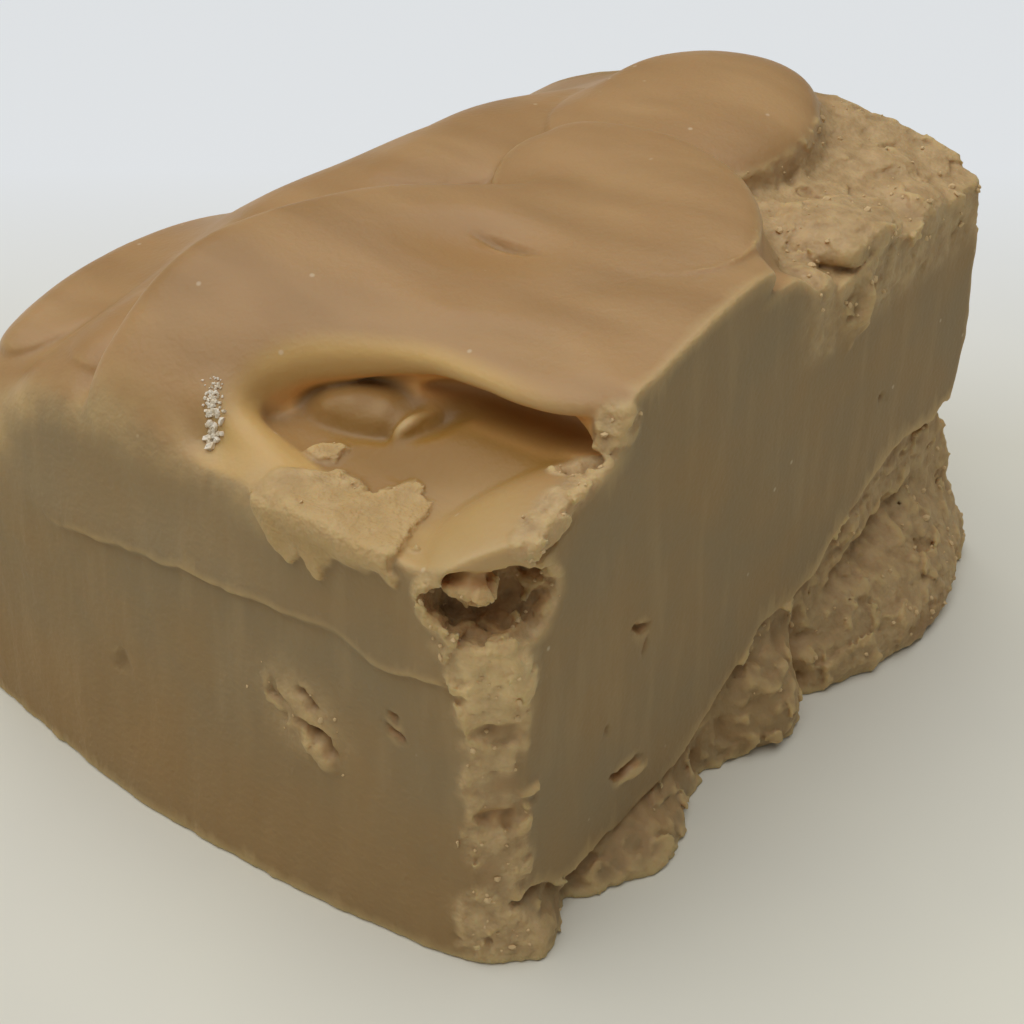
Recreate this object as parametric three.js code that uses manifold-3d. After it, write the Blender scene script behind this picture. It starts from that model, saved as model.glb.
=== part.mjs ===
// A half-pound block of penuche fudge: a hand-folded loaf with a rounded left shoulder,
// knife-cut on its front, right and back, with a torn near edge and a crumbled foot.
//
// Units are millimetres and +Z is up. The shape is measured from the near bottom corner,
// where the front and right cuts meet: X runs left below zero and Y runs back above zero.
// The finished mesh is then placed with the middle of its underside at the origin.

import * as THREE from "three";
import { mergeVertices } from "three/addons/utils/BufferGeometryUtils.js";
import Module from "manifold-3d";

const { clamp, degToRad, lerp, smoothstep } = THREE.MathUtils;

// Driving dimensions: the nominal side planes and the size of a facet.
const LEFT = -61;
const RIGHT = 0;
const FRONT = 0;
const BACK = 71;
const FACET = 2;

// The loaf under the folds: low at the front, higher behind, and falling away to the left, with how much
// nearer the front it rises at some places in X.
const LOAF = { low: 35.5, high: 44.5, riseFrom: 20, riseTo: 27, crownX: -12, halfWidth: 50, power: 2.8 };
const LOAF_AHEAD = [[-42, 2], [-30, 7], [-9, 7], [-2, 10]];

// Folds of fudge lying on the loaf: middle, half axes, turn about Z in degrees, how square the dome is,
// and lean, the rise for each millimetre towards the fold's far side.
const MIDDLE = { at: [-16.5, 37.5, 45.2], half: [14.5, 9, 2.9], turn: -22, square: 4, lean: 0.13 };
const CROWN = { at: [-21.6, 55, 44.5], half: [12, 13.5, 3.6], turn: 0, square: 2.6, lean: 0.09 };
const BACK_LEFT = { at: [-36, 45, 42], half: [8, 13, 3.2], turn: -10, square: 2, lean: 0 };
const BACK_MIDDLE = { at: [-41, 31, 40.2], half: [8, 13, 3.2], turn: -15, square: 2, lean: 0 };
const SHOULDER = { at: [-42.5, 18, 37], half: [7, 15, 3.2], turn: -8, square: 2, lean: 0 };
const TONGUE_ROOT = { at: [-36, 21, 36.5], half: [7, 10, 3.5], turn: 0, square: 2, lean: 0 };
const FLANK = { at: [-54.5, 19, 33.6], half: [6, 15, 4], turn: 0, square: 2, lean: 0 };
const CORNER = { at: [-2, 7, 35.3], half: [8, 11, 4], turn: -30, square: 2, lean: 0.2 };
const FOLDS = [MIDDLE, CROWN, BACK_LEFT, BACK_MIDDLE, SHOULDER, TONGUE_ROOT, FLANK, CORNER];
const CREASE = { crisp: 1.5, soft: 4.5, fromX: -34, toX: -20 };
const SKIRT = 1.6;

// The front ledge, which tilts up towards the back, and its low relief: the peak at its left, the hollow of
// the pocket's floor, the ridge that closes the pocket at the front left, and the torn flap along the edge.
const LEDGE_TILT = { rise: 3, spanY: [4, 14], spanX: [-36, -30] };
const LEDGE_RELIEF = [
  { at: [-45, 0], half: [9, 7], turn: 0, rise: 4.2 },
  { at: [-21, 12.5], half: [8.5, 4.6], turn: 10, rise: -2.6 },
  { at: [-25, 3.8], half: [7, 2.6], turn: -12, rise: 1.8 },
  { at: [-15, 2], half: [8, 6], turn: 0, rise: 0.9 },
];

// The broad tongue over the front: a sheet between a front and a back rim, each a line of points in X and Y,
// which ends at the left, where its rims are rounder, and falls towards the front cut.
const TONGUE_FRONT = [
  [-46, -40], [-40, -27], [-36, -14], [-33, -5], [-30.5, 0.5], [-28, 4.4], [-26, 7.6], [-24.5, 9.7],
  [-22.5, 11.6], [-20.5, 12.6], [-17.5, 13.1], [-12, 13], [-7, 12.9], [-4.5, 13.4],
  [-2, 15], [0, 16.2], [6, 18],
];
const TONGUE_BACK = [
  [-46, 14], [-40, 22.8], [-34, 29], [-28, 33], [-22, 36.8], [-10, 38.8], [-4, 36.8], [0, 34.3], [6, 31],
];
const TONGUE = { top: 46, lean: 0.15, end: -41.5, endRun: 31.5, blunt: 6, square: 2.8 };
const TONGUE_OVER = [[-40, 3.4], [-30, 2.4], [-20, 1.6]];
const TONGUE_FALL = { depth: 8, start: 15 };
const TONGUE_SKIRT = 2.2;
const LINE_SOFTNESS = [-2, -1, 0, 1, 2];

// The pocket under the tongue's lip: the slot that runs back under it and the lump in the slot.
const SLOT = { at: [-14.5, 13.6, 39], half: [13, 4.6, 2.4], turn: 10 };
const POCKET_LUMP = { at: [-21, 12.6, 35.9], half: [6, 3, 2.5], turn: 18 };

// Relief of the knife-cut faces, with the flap's end hanging over the front.
const FRONT_SPREAD = { depth: 3.4, height: 30 };
const SMEAR = { height: 26, step: 0.5, fade: 8, edge: 1.5 };
const DRAPE = { at: [-17, 34], half: [7, 4], turn: 0, out: 0.9 };
const BACK_SPREAD = { depth: 4, height: 16 };
const WAVE = { cut: 0.25, torn: 0.9, length: 9 };
const SEED = { front: 3, right: 7, back: 5, left: 13, crumb: 40 };

// The foot of the right cut: the line in Y and Z below which it has broken away, how far what is left lies
// behind the cut and spreads towards the floor, and its chunks and gaps, which stand out or go in.
const FOOT_LINE = [
  [0, 6.9], [11, 3.9], [24, 4.6], [33, 9.5], [36, 11.6], [45, 11.6], [50, 15.3], [57, 18.5], [72, 18.5],
];
const FOOT = { recess: 1.3, spread: 2.2, edge: 0.8 };
const FOOT_CHUNKS = [
  { at: [3.5, 2], half: [4.5, 5], turn: 0, out: 1.4 },
  { at: [18.5, 1], half: [8.5, 4.5], turn: 0, out: 2.9 },
  { at: [36, 4], half: [5.5, 8], turn: 0, out: 2.8 },
  { at: [43, 3], half: [2.2, 6], turn: -10, out: -3.2 },
  { at: [60, 3], half: [17.5, 9], turn: 3, out: 5.4 },
  { at: [52, 14], half: [3, 3], turn: 0, out: 1.2 },
];

// The rough top behind the right cut, where the folds have broken away, and the boulders lying on it.
const ROUGH = { spanX: [-17, -13], spanY: [37, 43], rim: [1, 1.12], sink: 3.4, tilt: 0.24 };
const BOULDERS = [
  { at: [-3.8, 50.5], half: [6.5, 6.5], turn: 15, rise: 2.6 },
  { at: [-2, 42.4], half: [4, 3.4], turn: 0, rise: 1.4 },
  { at: [-3, 61.5], half: [4.4, 4.6], turn: 0, rise: 1 },
  { at: [-8, 64.5], half: [5, 4.4], turn: 0, rise: 0.9 },
];

// The chipped near edge: how wide the chip is at some heights, and the cavity under the near corner's fold.
const CHIP_WIDTH = [[0, 0.9], [7, 1.5], [18, 2], [26, 1.7], [30.5, 1.2], [32.5, 2.6], [36, 3]];
const CHIP = { under: -1, top: 45, rows: 24, columns: 8, reach: 8 };
const CHIP_CRUMB = { depth: 0.4, grain: 2.6 };
const CAVITY = { at: [-2.7, 2.7, 33.4], half: [4.8, 3.4, 2.9], turn: 45 };
const CAVITY_CRUMB = { depth: 0.5, grain: 2.4 };

// How finely the slot and the lumps are rounded, and the size below which slivers are merged away.
const SLOT_DETAIL = 6;
const LUMP_DETAIL = 4;
const MERGE = 0.02;

const COLOUR = 0xa5845d;

const wasm = await Module();
wasm.setup();

function smoothMax(a, b, blend) {
  const share = Math.max(blend - Math.abs(a - b), 0) / blend;
  return Math.max(a, b) + (share * share * blend) / 4;
}

// Reads a line of points at a value, level past its ends.
function readLine(line, value) {
  const next = line.findIndex(([at]) => at > value);
  if (next === 0) return line[0][1];
  if (next < 0) return line.at(-1)[1];
  const [[from, low], [to, high]] = line.slice(next - 1, next + 1);
  return lerp(low, high, (value - from) / (to - from));
}

// Reads a line of points with its corners rounded off.
function softLine(line, value) {
  const reads = LINE_SOFTNESS.map((step) => readLine(line, value + step));
  return reads.reduce((sum, read) => sum + read, 0) / reads.length;
}

// Repeatable value noise from -1 to 1, with one smooth bump about every unit.
function noise(x, y, z) {
  const cell = [x, y, z].map(Math.floor);
  const ease = [x, y, z].map((value, i) => smoothstep(value - cell[i], 0, 1));
  let sum = 0;
  for (let corner = 0; corner < 8; corner++) {
    const step = [corner & 1, (corner >> 1) & 1, corner >> 2];
    const weight = step.reduce((product, on, i) => product * (on ? ease[i] : 1 - ease[i]), 1);
    sum += weight * cellValue(cell[0] + step[0], cell[1] + step[1], cell[2] + step[2]);
  }
  return sum;
}

function cellValue(i, j, k) {
  let hash = Math.imul(i, 374761393) ^ Math.imul(j, 668265263) ^ Math.imul(k, 1440662683);
  hash = Math.imul(hash ^ (hash >>> 13), 1274126177);
  return ((hash ^ (hash >>> 16)) >>> 0) / 2147483648 - 1;
}

// Distances along and across a form's own direction, from its middle.
function turned({ at, turn }, x, y) {
  const angle = degToRad(turn);
  const along = (x - at[0]) * Math.cos(angle) + (y - at[1]) * Math.sin(angle);
  const across = (y - at[1]) * Math.cos(angle) - (x - at[0]) * Math.sin(angle);
  return [along, across];
}

// A soft bump, 1 in its middle and 0 past its half axes.
function hump(form, x, y) {
  const [along, across] = turned(form, x, y);
  return clamp(1 - (along / form.half[0]) ** 2 - (across / form.half[1]) ** 2, 0, 1) ** 2;
}

// The height that a list of low forms adds at a place.
function reliefHeight(forms, x, y) {
  return forms.reduce((height, form) => height + form.rise * hump(form, x, y), 0);
}

// Height of the bare loaf above the floor.
function loafTop(x, y) {
  const ahead = readLine(LOAF_AHEAD, x);
  const height = lerp(LOAF.low, LOAF.high, smoothstep(y + ahead, LOAF.riseFrom, LOAF.riseTo));
  const out = Math.min(Math.max(LOAF.crownX - x, 0) / LOAF.halfWidth, 0.99);
  return height * (1 - out ** LOAF.power) ** (1 / LOAF.power);
}

// The low ledge along the front.
function ledgeTop(x, y) {
  const ledge = (LOAF.low / LOAF.high) * loafTop(x, Math.max(y, LOAF.riseTo));
  const tilt = LEDGE_TILT.rise * smoothstep(y, ...LEDGE_TILT.spanY) * smoothstep(x, ...LEDGE_TILT.spanX);
  return ledge + tilt + reliefHeight(LEDGE_RELIEF, x, y);
}

function foldReach(fold, x, y) {
  const [along, across] = turned(fold, x, y);
  return Math.hypot(along / fold.half[0], across / fold.half[1]);
}

// Height of a fold's dome, running down in a steep skirt past its outline.
function foldTop(fold, x, y) {
  const { at, half, square, lean } = fold;
  const reach = foldReach(fold, x, y);
  const dome = half[2] * Math.max(1 - reach ** square, 0) ** (1 / square);
  const skirt = SKIRT * Math.max(reach - 1, 0) * Math.min(half[0], half[1]);
  return at[2] + lean * turned(fold, x, y)[1] + dome - skirt;
}

// Height of the tongue's top, running down in a steep skirt past its rims.
function tongueTop(x, y) {
  const [front, back] = [softLine(TONGUE_FRONT, x), softLine(TONGUE_BACK, x)];
  const [middle, half] = [(front + back) / 2, (back - front) / 2];
  const along = Math.min(x - TONGUE.end - TONGUE.endRun, 0) / TONGUE.endRun;
  const reach = Math.sqrt(along ** TONGUE.blunt + ((y - middle) / half) ** 2);
  const over = readLine(TONGUE_OVER, x);
  const dome = over * Math.max(1 - reach ** TONGUE.square, 0) ** (1 / TONGUE.square);
  const skirt = TONGUE_SKIRT * Math.max(reach - 1, 0) * half;
  const fallen = TONGUE_FALL.depth * (Math.max(TONGUE_FALL.start - y, 0) / TONGUE_FALL.start) ** 2;
  return TONGUE.top - over - fallen + TONGUE.lean * (y - middle) + dome - skirt;
}

// How far the top sinks where the folds have broken away behind the right cut, less its boulders.
function roughSink(x, y) {
  const pastCrown = smoothstep(foldReach(CROWN, x, y), ...ROUGH.rim) * smoothstep(x, ...ROUGH.spanX);
  const pastMiddle = smoothstep(foldReach(MIDDLE, x, y), ...ROUGH.rim) * smoothstep(y, ...ROUGH.spanY);
  return pastCrown * pastMiddle * (ROUGH.sink + ROUGH.tilt * x - reliefHeight(BOULDERS, x, y));
}

// How softly the folds meet: crisp at the right, softer towards the left.
function creaseWidth(x) {
  return lerp(CREASE.soft, CREASE.crisp, smoothstep(x, CREASE.fromX, CREASE.toX));
}

function topHeight(x, y) {
  const crease = creaseWidth(x);
  const loaf = loafTop(x, y) - roughSink(x, y);
  const folded = FOLDS.reduce((height, fold) => smoothMax(height, foldTop(fold, x, y), crease), loaf);
  return smoothMax(Math.max(folded, ledgeTop(x, y)), tongueTop(x, y), crease);
}

// The waves of a side, from the places along and up it.
function waves(along, up, depth, seed) {
  return depth * noise(along / WAVE.length, seed, up / WAVE.length);
}

// Where each side lies, with its spread towards the foot and its relief.
function frontFace(x, z) {
  const across = clamp((x - LEFT) / (RIGHT - LEFT), 0, 1);
  const spread = FRONT_SPREAD.depth * Math.sin(Math.PI * across) * Math.max(1 - z / FRONT_SPREAD.height, 0);
  const above = z - SMEAR.height;
  const fade = Math.exp(-Math.abs(above) / SMEAR.fade);
  const smear = SMEAR.step * fade * smoothstep(above, -SMEAR.edge, SMEAR.edge);
  const drape = DRAPE.out * hump(DRAPE, x, z);
  return FRONT - spread - smear - drape + waves(x, z, WAVE.cut, SEED.front);
}

function rightFace(y, z) {
  const line = readLine(FOOT_LINE, y);
  const broken = 1 - smoothstep(z, line - FOOT.edge, line + FOOT.edge);
  const spread = FOOT.spread * Math.max(1 - z / line, 0) - FOOT.recess;
  const chunks = FOOT_CHUNKS.reduce((sum, chunk) => sum + chunk.out * hump(chunk, y, z), 0);
  return RIGHT + broken * (spread + chunks) + waves(y, z, WAVE.cut, SEED.right);
}

function backFace(x, z) {
  const spread = BACK_SPREAD.depth * Math.max(1 - z / BACK_SPREAD.height, 0);
  return BACK + spread + waves(x, z, WAVE.torn, SEED.back);
}

function leftFace(y, z) {
  return LEFT + waves(y, z, WAVE.torn, SEED.left);
}

// A box whose sides follow the cut faces and whose top follows the folds.
function blockGeometry() {
  const steps = [RIGHT - LEFT, BACK - FRONT, LOAF.low].map((length) => Math.round(length / FACET));
  const geometry = new THREE.BoxGeometry(1, 1, 1, ...steps);
  const points = geometry.attributes.position;
  for (let i = 0; i < points.count; i++) {
    const [u, v, w] = [points.getX(i) + 0.5, points.getY(i) + 0.5, points.getZ(i) + 0.5];
    const plainX = lerp(LEFT, RIGHT, u);
    const plainY = lerp(FRONT, BACK, v);
    const plainZ = w * topHeight(plainX, plainY);
    const x = lerp(leftFace(plainY, plainZ), rightFace(plainY, plainZ), u);
    const y = lerp(frontFace(plainX, plainZ), backFace(plainX, plainZ), v);
    points.setXYZ(i, x, y, w * topHeight(x, y));
  }
  return geometry;
}

function ellipsoidGeometry({ at, half, turn }, detail) {
  return new THREE.IcosahedronGeometry(1, detail)
    .scale(...half)
    .rotateZ(degToRad(turn))
    .translate(...at);
}

// A bar whose inner face, turned by half a right angle, runs up the near edge as deep as the chip is.
function chipGeometry() {
  const height = CHIP.top - CHIP.under;
  const geometry = new THREE.BoxGeometry(1, 2 * CHIP.reach, height, 1, CHIP.columns, CHIP.rows);
  const points = geometry.translate(0, 0, CHIP.under + height / 2).attributes.position;
  for (let i = 0; i < points.count; i++) {
    const inner = points.getX(i) < 0;
    points.setX(i, inner ? -readLine(CHIP_WIDTH, points.getZ(i)) : CHIP.reach);
  }
  return geometry.rotateZ(-Math.PI / 4).translate(RIGHT, FRONT, 0);
}

// Moves every point of a geometry by a little noise in each direction, for a broken surface.
function crumbled(geometry, { depth, grain }) {
  const points = geometry.attributes.position;
  for (let i = 0; i < points.count; i++) {
    const at = [points.getX(i), points.getY(i), points.getZ(i)];
    const [x, y, z] = at.map((value) => value / grain);
    const shift = [noise(x, y, z), noise(x + SEED.crumb, y, z), noise(x, y + SEED.crumb, z)];
    points.setXYZ(i, ...at.map((value, axis) => value + depth * shift[axis]));
  }
  return geometry;
}

function solidOf(geometry) {
  const bare = geometry.clone();
  bare.deleteAttribute("normal");
  bare.deleteAttribute("uv");
  const merged = mergeVertices(bare);
  const vertProperties = new Float32Array(merged.attributes.position.array);
  const triVerts = new Uint32Array(merged.index.array);
  return new wasm.Manifold(new wasm.Mesh({ numProp: 3, vertProperties, triVerts }));
}

function geometryOf(solid) {
  const { vertProperties, triVerts } = solid.getMesh();
  const geometry = new THREE.BufferGeometry();
  geometry.setAttribute("position", new THREE.BufferAttribute(vertProperties, 3));
  geometry.setIndex(new THREE.BufferAttribute(triVerts, 1));
  geometry.computeVertexNormals();
  return geometry;
}

// The whole block: the slot is opened and its lump set in it, then the near edge and its cavity break away.
function fudgeGeometry() {
  const whole = solidOf(blockGeometry())
    .subtract(solidOf(ellipsoidGeometry(SLOT, SLOT_DETAIL)))
    .add(solidOf(ellipsoidGeometry(POCKET_LUMP, LUMP_DETAIL)))
    .subtract(solidOf(crumbled(chipGeometry(), CHIP_CRUMB)))
    .subtract(solidOf(crumbled(ellipsoidGeometry(CAVITY, LUMP_DETAIL), CAVITY_CRUMB)));
  return geometryOf(whole.simplify(MERGE));
}

function fudgeMesh() {
  const material = new THREE.MeshStandardMaterial({ color: COLOUR, roughness: 0.6, metalness: 0 });
  const mesh = new THREE.Mesh(fudgeGeometry(), material);
  mesh.name = "fudge";
  mesh.geometry.computeBoundingBox();
  const { min, max } = mesh.geometry.boundingBox;
  mesh.position.set(-(min.x + max.x) / 2, -(min.y + max.y) / 2, -min.z);
  return mesh;
}

const part = new THREE.Group();
part.name = "penuche_fudge";
part.add(fudgeMesh());

export default part;
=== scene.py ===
"""Looks of a half-pound block of penuche fudge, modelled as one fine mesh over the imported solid.

Sizes are in millimetres, measured from the near bottom corner, where the front and right knife cuts
meet: x runs left below zero, y runs back above zero and z is up. The block is worked out as a field
on a fine grid, negative inside the fudge, and turned into a mesh in the frame's metres at the end.
"""

import math

import bmesh
import bpy
import numpy as np
import openvdb
from mathutils import Matrix, Vector


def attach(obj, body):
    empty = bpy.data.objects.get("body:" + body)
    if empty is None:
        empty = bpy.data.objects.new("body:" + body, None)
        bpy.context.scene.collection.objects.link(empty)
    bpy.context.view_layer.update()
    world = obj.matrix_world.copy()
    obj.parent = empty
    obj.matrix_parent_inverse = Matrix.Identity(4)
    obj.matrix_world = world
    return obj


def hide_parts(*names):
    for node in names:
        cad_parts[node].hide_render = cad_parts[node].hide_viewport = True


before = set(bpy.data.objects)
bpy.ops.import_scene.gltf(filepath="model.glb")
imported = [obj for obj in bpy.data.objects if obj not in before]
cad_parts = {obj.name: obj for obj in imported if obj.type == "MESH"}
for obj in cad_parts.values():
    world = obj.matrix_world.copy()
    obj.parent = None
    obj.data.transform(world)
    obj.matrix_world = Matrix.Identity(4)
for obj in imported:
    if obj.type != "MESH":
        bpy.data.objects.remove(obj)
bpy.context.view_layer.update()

# Where the frame's origin lies, and the grid that the block is worked out on.
FRAME_ORIGIN = np.array([-27.876, 36.182, 0.0])
GRID_LOW = np.array([-64.0, -6.0, -1.2])
GRID_HIGH = np.array([6.0, 79.5, 53.4])
VOXEL = 0.24
TRIANGLE_LIMIT = 190000

# Lowest and highest corners of the parts of the grid that one feature alone touches.
SPANS = dict(
    tongue=((-46, -6, 26), (6, 46, 53.4)),
    slot=((-26, 6, 32), (0, 24, 44)),
    pocket=((-38, -2, 28), (-8, 22, 44)),
    boulders=((-20, 34, 34), (6, 79, 50)),
    foot=((-9, -4, -1.2), (6, 79.5, 26)),
    near_edge=((-12, -6, -1.2), (6, 12, 41)),
    notch=((-7, 10, 37), (3, 20, 45)),
    flap=((-28, -4, 28), (-6, 10, 41)),
)

# Nominal side planes, and how softly the other surfaces round into them.
LEFT = -61.0
RIGHT = 0.0
FRONT = 0.0
BACK = 71.0
LEFT_ROUND = 4.0
RIGHT_ROUND = 0.5
FRONT_ROUND = [(-50, 3.5), (-26, 2.2), (-18, 0.8), (0, 0.5)]
BACK_ROUND = 1.0
FLOOR_ROUND = 0.3

# The loaf under the folds: low at the front, higher behind, falling away to the left. Its rise comes further
# ahead at some x than at others.
LOAF = dict(low=35.5, high=44.5, rise=(20, 27), crown_x=-12, half_width=50, power=2.8, end=0.99)
LOAF_AHEAD = [(-42, 2), (-30, 8.5), (-24, 9.5), (-18, 9.8), (-13, 7.5), (-9, 7), (-2, 10)]

# Folds lying on the loaf: middle, half axes, turn about z in degrees, how square the dome is, lean, the rise
# for each millimetre towards the far side, and soft, where it turns from soft to crisp, in half axes.
MIDDLE = dict(at=(-16.5, 37.5, 44.6), half=(14.5, 9.0, 2.9), turn=-22, square=4, lean=0.22, soft=(-1.3, -0.9))
CROWN = dict(at=(-22.1, 55, 44.5), half=(11.3, 13.5, 3.6), turn=0, square=2.6, lean=0.09, soft=(-1.2, -0.7))
BACK_LEFT = dict(at=(-36, 45, 42.0), half=(8, 13, 3.2), turn=-10)
BACK_MIDDLE = dict(at=(-41, 31, 40.2), half=(8, 13, 3.2), turn=-15)
SHOULDER = dict(at=(-42.5, 18, 37.0), half=(7, 15, 3.2), turn=-8)
TONGUE_ROOT = dict(at=(-36, 21, 35.5), half=(7, 10, 3.5), turn=0)
FLANK = dict(at=(-54.5, 19, 33.6), half=(6, 15, 4.0), turn=0)
CORNER = dict(at=(-2, 7, 35.3), half=(8, 11, 4), turn=-30, lean=0.2)
CORNER_CREASE = 0.5
PEAK = dict(at=(-45, 0), half=(9, 7), turn=0)
PEAK_RISE = 4.2

# How softly the folds meet, how steeply they fall past their outlines, and where most turn crisp.
CREASE = dict(crisp=0.9, soft=4.5, left=(-20, -34), behind=(60, 70))
SKIRT = 2.6
SOFT_SIDE = (-0.9, -0.1)

# Waves of the folded skin. Here and below, waves have a height, sizes in two directions and a layer of noise,
# and ragged values have a depth, a grain and a number of layers.
SWELL = (0.2, 9, 9, 21)
RIPPLES = (0.06, 3.5, 9, 22)
LEFT_WAVES = (0.5, 6, 17, 25)
LEFT_WAVES_START = (-34, -44)

# The broad tongue over the front: a slab between a front and a back rim, each a line of points in x and y,
# which ends at the left and falls towards the front cut. Its thickness over and under the rims' level changes
# along x. A dimple with a slit lies on it, with painted shade, and a painted glow of light on the lip behind
# its front rim.
TONGUE_FRONT = [
    (-46, -40), (-40, -27), (-36, -14), (-33, -5), (-31, 0.8), (-29.5, 4.7), (-28, 7.3), (-26.5, 8.9),
    (-24.5, 10.1), (-22.5, 11.1), (-20.5, 12.0), (-17.5, 12.8), (-12, 13), (-7, 12.9), (-4.5, 13.4),
    (-2, 15), (0, 16.2), (6, 18),
]
TONGUE_BACK = [
    (-46, 14), (-40, 22.8), (-34, 29), (-28, 33), (-22, 36.8), (-10, 38.8), (-4, 36.8), (0, 34.3), (6, 31),
]
TONGUE = dict(top=46.0, lean=0.15, end=-41.5, end_run=31.5)
TONGUE_OVER = [(-40, 3.4), (-30, 2.8), (-23, 2.4), (-16, 1.6)]
TONGUE_UNDER = [(-40, 7), (-30, 5.5), (-25, 4.4), (-20, 3.2), (-15, 1.8), (-11, 1.2)]
TONGUE_RIM = dict(blunt=6, square=2.8)
TONGUE_FALL = dict(depth=8, start=15)
TONGUE_CREASE = 1.3
DIMPLE = dict(at=(-21.5, 25), half=(9, 4.6), turn=12)
DIMPLE_DEPTH = 0.9
DIMPLE_LOW = (42, 44)
SLIT = dict(at=(-20.0, 26.6), half=(4.4, 0.7), turn=4)
SLIT_DEPTH = 0.55
LIP = dict(width=(1.7, 0.1), under=(-1.6, -0.6), left=(-31, -27), right=(-3, -12))

# The pocket under the tongue's lip: the slot at its right, the tilted ledge with a hollow in its floor, the
# ridge that closes it at the front left, and the lumps in it.
SLOT = dict(at=(-9.6, 14.8, 39.7), half=(8.4, 2.5, 1.5), turn=6)
SLOT_ROUND = 0.8
LEDGE_TILT = dict(rise=3.0, depth=(4, 14), left=(-36, -30))
LEDGE_WAVES = (0.25, 6, 6, 23)
LEDGE_BLEND = [(-30, 3.5), (-25, 2.5), (-20, 1.2), (-12, 0.6)]
POCKET_FLOOR = dict(at=(-21, 12.5), half=(8.5, 4.6), turn=10)
POCKET_DEPTH = 3.2
RIDGE = dict(start=(-30.5, 5.0, 37.6), end=(-20.5, 2.8, 34.6), width=1.3)
RIDGE_BLEND = 2.5
POCKET_LUMPS = [
    dict(at=(-21.2, 12.0, 36.3), half=(5.8, 2.8, 2.6), turn=18),
    dict(at=(-16.9, 11.8, 36.6), half=(1.1, 2.5, 2.1), turn=-12),
]
LUMP_BLEND = 0.8
LUMP_RAGGED = (0.25, 3, 2)

# Where the pocket's colours lie: warm painted shade on the ledge, a painted glow under the lip and pale on
# the near corner's fold.
LEDGE_SHADE_SPAN = dict(at=(-14, 12.5), half=(17, 9), turn=15)
LEDGE_HEIGHTS = dict(top=(41, 38), low=(30, 33))
LUMP_OUTSIDE = (0.2, 1.2)
LUMP_SHADE_SHARE = 0.8
HOLLOW = dict(left=(-32, -28), front=(-0.6, 0.6), back=(8, 6), under=(0.4, -0.6), floor=(-4.6, -3.2))
PALE_CORNER = dict(at=(-5, 3), half=(12, 10), turn=0)
PALE_CORNER_LOW = (33, 35)

# The brow where the front cut turns over into the top, with a painted highlight: its line in x and z, how far
# it fades down the front and back over the top, and where it ends at the right.
BROW_LINE = [(-55, 26), (-52, 28.7), (-49, 32.6), (-46, 35.8), (-33, 36), (-26, 36), (-22, 34.6), (-10, 35)]
BROW = dict(fade=(-4.0, -0.5), depth=(3.0, 1.0), right=(-16, -22))

# The broken cavity at the near corner: its hollow, the lumps left in it, the brown painted shade inside it
# and its crumb.
CAVITY = dict(at=(-2.7, 2.7, 33.4), half=(4.8, 3.4, 2.9), turn=45)
CAVITY_LUMPS = [
    dict(at=(-4.3, 2.0, 34.6), half=(1.7, 1.5, 2.3), turn=0),
    dict(at=(-2.2, 2.0, 28.8), half=(2.6, 1.6, 2.0), turn=45),
]
CAVITY_SHADE_INSIDE = (0.6, -0.6)
CAVITY_BROKEN = dict(around=(1.2, 0.4), top=(35.8, 34.6))
CAVITY_BLEND = 0.4

# The chipped near edge: its width at some heights, its pale chips, two holes in it, and how ragged it is.
CHIP_WIDTH = [(0, 0.9), (7, 1.5), (18, 2.0), (26, 1.7), (30.5, 1.2), (32.5, 2.6), (36, 3.0), (41, 3.0)]
CHIPS_PALE = dict(inward=(3.2, 1.8), low=(20, 28), high=(32, 30))
CHIP_HOLES = [
    dict(at=(-1.2, 0.9, 22.8), half=(1.9, 1.3, 1.1), turn=30),
    dict(at=(-1.0, 1.2, 14.8), half=(1.4, 1.4, 0.7), turn=0),
]
CHIP_BLEND = dict(edge=0.25, holes=1.2)
CHIP_RAGGED = dict(grain=2.2, layers=3)
CHIP_ROUGH = dict(cavity=0.7, lumps=0.5)

# The foot of the right cut: the line in y and z below which it has broken away, how far what is left
# lies behind the cut and spreads towards the floor, and its chunks and gaps, in rows as on the cut faces.
FOOT_LINE = [
    (0, 6.9), (11, 3.9), (24, 4.6), (33, 9.5), (36, 11.6), (45, 11.6), (50, 15.3), (57, 18.5), (72, 18.5),
]
FOOT_RAGGED = (0.5, 4, 3)
FOOT_EDGE = dict(line=(0.2, -0.3), depth=(-5, -3.5))
FOOT_BLEND = dict(line=0.2, front=0.5)
FOOT_RECESS = 1.3
FOOT_SPREAD = 2.2
FOOT_MARKS = [
    (3.5, 2.0, 4.5, 5.0, 0, -1.4),
    (9.5, 1.5, 1.6, 5.0, -20, 1.8),
    (18.5, 1.0, 8.5, 4.5, 0, -2.9),
    (28.0, 2.0, 1.8, 5.0, 15, 1.6),
    (37.0, 3.5, 6.5, 8.0, 0, -3.4),
    (43.0, 4.0, 1.8, 6.0, -10, 1.8),
    (58.0, 2.5, 19.5, 9.0, 3, -5.4),
    (56.0, 10.0, 12.0, 1.8, 12, 1.8),
    (52.0, 14.0, 3.0, 3.0, 0, -1.2),
]

# The rough top behind the right cut, where the folds have broken away: how far it sinks, how it tilts, where
# it starts beside the crown and the middle fold, and the boulders on it.
ROUGH = dict(sink=3.4, tilt=0.24, crown=(0.92, 1.04), right=(-17, -13), middle=(1.0, 1.15), behind=(37, 43))
BOULDER_BLEND = 0.4
BOULDERS = [
    dict(at=(-3.8, 50.5, 42.3), half=(5.6, 5.4, 1.9), turn=15),
    dict(at=(-2.0, 42.4, 40.4), half=(3.2, 2.6, 2.2), turn=0),
    dict(at=(-3.0, 61.5, 40.6), half=(3.4, 3.6, 1.9), turn=0),
    dict(at=(-8.0, 64.5, 41.4), half=(4.0, 3.4, 2.0), turn=0),
    dict(at=(0.0, 68.5, 38.6), half=(2.6, 3.4, 2.4), turn=0),
]

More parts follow.
